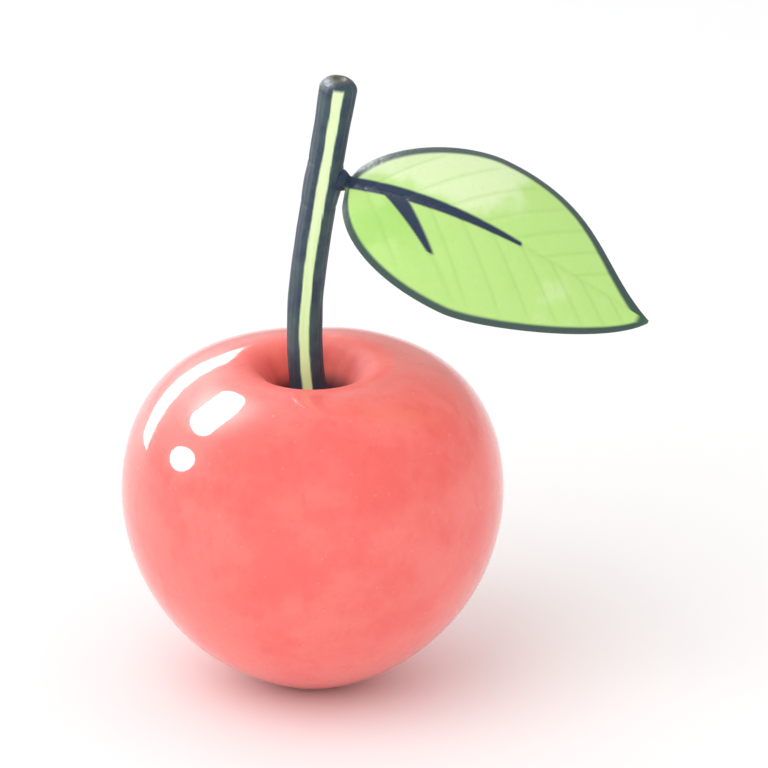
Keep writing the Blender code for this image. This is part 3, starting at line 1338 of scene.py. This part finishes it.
@dataclass(frozen=True)
class Mirror:
    """Follows sight lines from the front to the skin, and on to what the skin mirrors there."""

    skin: BVHTree
    middle: Vector
    half_width: float
    towards_camera: Vector
    lamp_distance: float = 0.45
    reading_step: float = 0.03
    outline_error: float = 0.0005

    def touch(self, spot: Vector) -> Vector | None:
        """Where a sight line meets the skin.

        Args:
            spot: A spot of the front view.

        Returns:
            The point, or None past the outline.
        """
        right = Vector((1, 0, 0))
        upward = self.towards_camera.cross(right)
        start = self.middle + self.half_width * (right * spot.x + upward * spot.y + 2 * self.towards_camera)
        return self.skin.ray_cast(start, -self.towards_camera)[0]

    def outline(self, turn: float) -> Vector:
        """The spot of the front view where the fruit ends.

        Args:
            turn: The angle about its middle.

        Returns:
            The spot.
        """
        way = heading(turn)
        inside, outside = 0.5, 1.5
        while outside - inside > self.outline_error:
            halfway = (inside + outside) / 2
            if self.touch(way * halfway) is None:
                outside = halfway
            else:
                inside = halfway
        return way * inside

    def bounce(self, spot: Vector) -> tuple[Vector, Vector]:
        """Follows a sight line to the skin and on.

        Args:
            spot: A spot of the front view.

        Returns:
            The point on the skin and the way onwards.
        """
        aside, above = Vector((self.reading_step, 0)), Vector((0, self.reading_step))
        across = self.touch(spot + aside) - self.touch(spot - aside)
        rising = self.touch(spot + above) - self.touch(spot - above)
        return self.touch(spot), (-self.towards_camera).reflect(across.cross(rising).normalized())

    def lamp(self, name: str, gleam: Gleam, brightness: float) -> Lamp:
        """The lamp whose mirror image is a gleam.

        Args:
            name: The lamp's name.
            gleam: The gleam that it makes.
            brightness: Its brightness.

        Returns:
            An oval lamp, square to the sight line through the gleam's middle.
        """
        touched, onwards = self.bounce(gleam.middle)
        centre = touched + onwards * self.lamp_distance
        flat = onwards.to_track_quat("Z", "Y").to_matrix().transposed()

        def seen(offset: Vector) -> Vector:
            """Where the sight line through a spot beside the middle meets the lamp's plane."""
            start, way = self.bounce(gleam.middle + offset)
            return (flat @ (start + way * ((centre - start).dot(onwards) / way.dot(onwards)) - centre)).xy

        lengthwise = heading(gleam.tilt) * (gleam.length / 2)
        crosswise = heading(gleam.tilt).orthogonal() * (gleam.width / 2)
        first = (seen(lengthwise) - seen(-lengthwise)) / 2
        second = (seen(crosswise) - seen(-crosswise)) / 2
        even = Vector((first.x + second.y, first.y - second.x)) / 2
        odd = Vector((first.x - second.y, first.y + second.x)) / 2
        length, width = 2 * (even.length + odd.length), 2 * abs(even.length - odd.length)
        roll = (math.atan2(even.y, even.x) + math.atan2(odd.y, odd.x)) / 2
        return Lamp(name, centre, onwards, length, width, roll, brightness, Reach.GLOSS)


@dataclass
class Studio:
    """A white board for a floor, an even pale surround, soft lamps and a long lens."""

    surround: Colour = (1.0, 1.0, 1.0)
    surround_strength: float = 0.86
    surround_in_gloss: float = 0.60
    floor_half_side: float = 1.5
    lens: float = 1000.0
    sensor: float = 36.0
    frame_width: float = 0.05607
    elevation: float = 24.0
    aim_offset: Vector = field(default_factory=lambda: Vector((-0.00007, 0.0, -0.00018)))
    key_turn: float = math.radians(-45)
    key_rise: float = math.radians(50)
    key_distance: float = 0.45
    key_size: float = 0.50
    key_brightness: float = 1.4
    window_middle: tuple[float, float] = (-0.51, 0.405)
    window_count: int = 5
    window_run: float = 0.155
    window_width: float = 0.14
    window_tilt: float = math.radians(37)
    window_brightness: float = 22.0
    spot_middle: tuple[float, float] = (-0.68, 0.17)
    spot_width: float = 0.13
    rim_inset: float = 0.095
    rim_start: float = math.radians(170)
    rim_end: float = math.radians(121)
    rim_count: int = 9
    rim_length: float = 0.24
    rim_width: float = 0.060
    rim_end_share: float = 0.45
    rim_reading: float = 0.05
    rim_brightness: float = 6.5
    lowest_lamp: float = 0.0
    floor_finish: FloorFinish = FloorFinish()

    def key_lamp(self, aim: Vector) -> Lamp:
        """The one lamp that lights the surfaces: broad, in front and to the left, above.

        Args:
            aim: What it shines on.

        Returns:
            The lamp.
        """
        turn, rise, size = self.key_turn, self.key_rise, self.key_size
        behind = Vector((math.sin(turn) * math.cos(rise), -math.cos(turn) * math.cos(rise), math.sin(rise)))
        place = aim + behind * self.key_distance
        return Lamp("key", place, behind, size, size, 0.0, self.key_brightness, Reach.LIGHT)

    def window_lamps(self, mirror: Mirror) -> list[Lamp]:
        """The long gleam with round ends, as a row of round lamps, and the round one below it.

        Args:
            mirror: What finds the lamp of a gleam.

        Returns:
            The lamps.
        """
        run = heading(self.window_tilt) * self.window_run
        lamps = []
        for step in range(self.window_count):
            middle = Vector(self.window_middle) + run * (step / (self.window_count - 1) - 0.5)
            gleam = Gleam(middle, self.window_width, self.window_width)
            lamps.append(mirror.lamp(f"window_{step}", gleam, self.window_brightness))
        spot = Gleam(Vector(self.spot_middle), self.spot_width, self.spot_width)
        return lamps + [mirror.lamp("spot", spot, self.window_brightness)]

    def rim_lamps(self, mirror: Mirror) -> list[Lamp]:
        """The thin gleam just inside the fruit's outline: a row of ovals that taper to both ends.

        Args:
            mirror: What finds the lamp of a gleam.

        Returns:
            The lamps that hang above the floor.
        """
        lamps = []
        for step in range(self.rim_count):
            share = step / (self.rim_count - 1)
            turn = self.rim_start + (self.rim_end - self.rim_start) * share
            edge = mirror.outline(turn)
            run = mirror.outline(turn - self.rim_reading) - mirror.outline(turn + self.rim_reading)
            taper = self.rim_end_share + (1 - self.rim_end_share) * math.sin(math.pi * share)
            width = self.rim_width * taper
            inwards = Vector((run.y, -run.x)).normalized() * self.rim_inset
            gleam = Gleam(edge + inwards, self.rim_length, width, math.atan2(run.y, run.x))
            lamp = mirror.lamp(f"rim_{step}", gleam, self.rim_brightness)
            if lamp.place.z > self.lowest_lamp:
                lamps.append(lamp)
        return lamps

    def lay_floor(self) -> None:
        """Lays the board that the fruit rests on."""
        side = self.floor_half_side
        mesh = bpy.data.meshes.new("floor")
        corners = [(-side, -side, 0), (side, -side, 0), (side, side, 0), (-side, side, 0)]
        mesh.from_pydata(corners, [], [(0, 1, 2, 3)])
        floor = put("floor", mesh)
        self.floor_finish.dress(floor)

    def light(self, fruit: Thing, aim: Vector, half_width: float) -> None:
        """Lights the surround and hangs the lamps.

        Args:
            fruit: The finished fruit, whose skin mirrors the lamps.
            aim: The middle of the fruit at its equator.
            half_width: The fruit's half width.
        """
        world = bpy.data.worlds.new("surround")
        world.use_nodes = True
        sky = world.node_tree.nodes["Background"]
        sky.inputs["Color"].default_value = (*self.surround, 1.0)
        ray = world.node_tree.nodes.new("ShaderNodeLightPath")
        strength = world.node_tree.nodes.new("ShaderNodeMapRange")
        strength.inputs["To Min"].default_value = self.surround_strength
        strength.inputs["To Max"].default_value = self.surround_in_gloss
        world.node_tree.links.new(ray.outputs["Is Glossy Ray"], strength.inputs["Value"])
        world.node_tree.links.new(strength.outputs["Result"], sky.inputs["Strength"])
        bpy.context.scene.world = world
        bpy.context.scene.view_settings.view_transform = "Standard"
        skin = BVHTree.FromPolygons(
            [vertex.co for vertex in fruit.data.vertices],
            [tuple(face.vertices) for face in fruit.data.polygons],
        )
        mirror = Mirror(skin, aim, half_width, self.towards_camera())
        for lamp in [self.key_lamp(aim)] + self.window_lamps(mirror) + self.rim_lamps(mirror):
            lamp.hang()

    def towards_camera(self) -> Vector:
        """The way from the fruit to the camera: in front and a little above."""
        rise = math.radians(self.elevation)
        return Vector((0, -math.cos(rise), math.sin(rise)))

    def set_camera(self, aim: Vector) -> None:
        """Points the camera at a point.

        Args:
            aim: The middle of the camera's view.
        """
        away = self.towards_camera()
        lens = bpy.data.cameras.new("camera")
        lens.lens = self.lens
        lens.sensor_width = self.sensor
        camera = put("camera", lens)
        camera.location = aim + away * (self.frame_width * self.lens / self.sensor)
        camera.rotation_euler = away.to_track_quat("Z", "Y").to_euler()
        bpy.context.scene.camera = camera


def hand_over(piece: Thing, node: str) -> None:
    """Puts a finished piece in place of its solid and reports it.

    Args:
        piece: The finished piece.
        node: The solid that it stands for.
    """
    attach(piece, BODY)
    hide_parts(node)
    low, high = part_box(node)
    log.info("%s stands for %s, %.1f mm tall", piece.name, node, 1000 * (high.z - low.z))


def main() -> None:
    """Builds the pieces and the studio in order."""
    logging.basicConfig(level=logging.INFO, format="%(name)s: %(message)s")
    fruit_low, fruit_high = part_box("fruit")
    fruit = Fruit((fruit_high.x - fruit_low.x) / 2, -fruit_low.y, fruit_high.z)
    skin = fruit.build()
    hand_over(skin, "fruit")

    stem = Stem(foot=Vector((0, 0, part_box("stem")[0].z)))
    hand_over(stem.build(), "stem")

    leaf = Leaf(stem)
    hand_over(leaf.build(), "leaf")

    studio = Studio()
    studio.lay_floor()
    studio.light(skin, Vector((0, 0, fruit.equator_height)), fruit.half_width)
    studio.set_camera((cad_low + cad_high) / 2 + studio.aim_offset)
    log.info("studio ready")


if __name__ == "__main__":
    main()
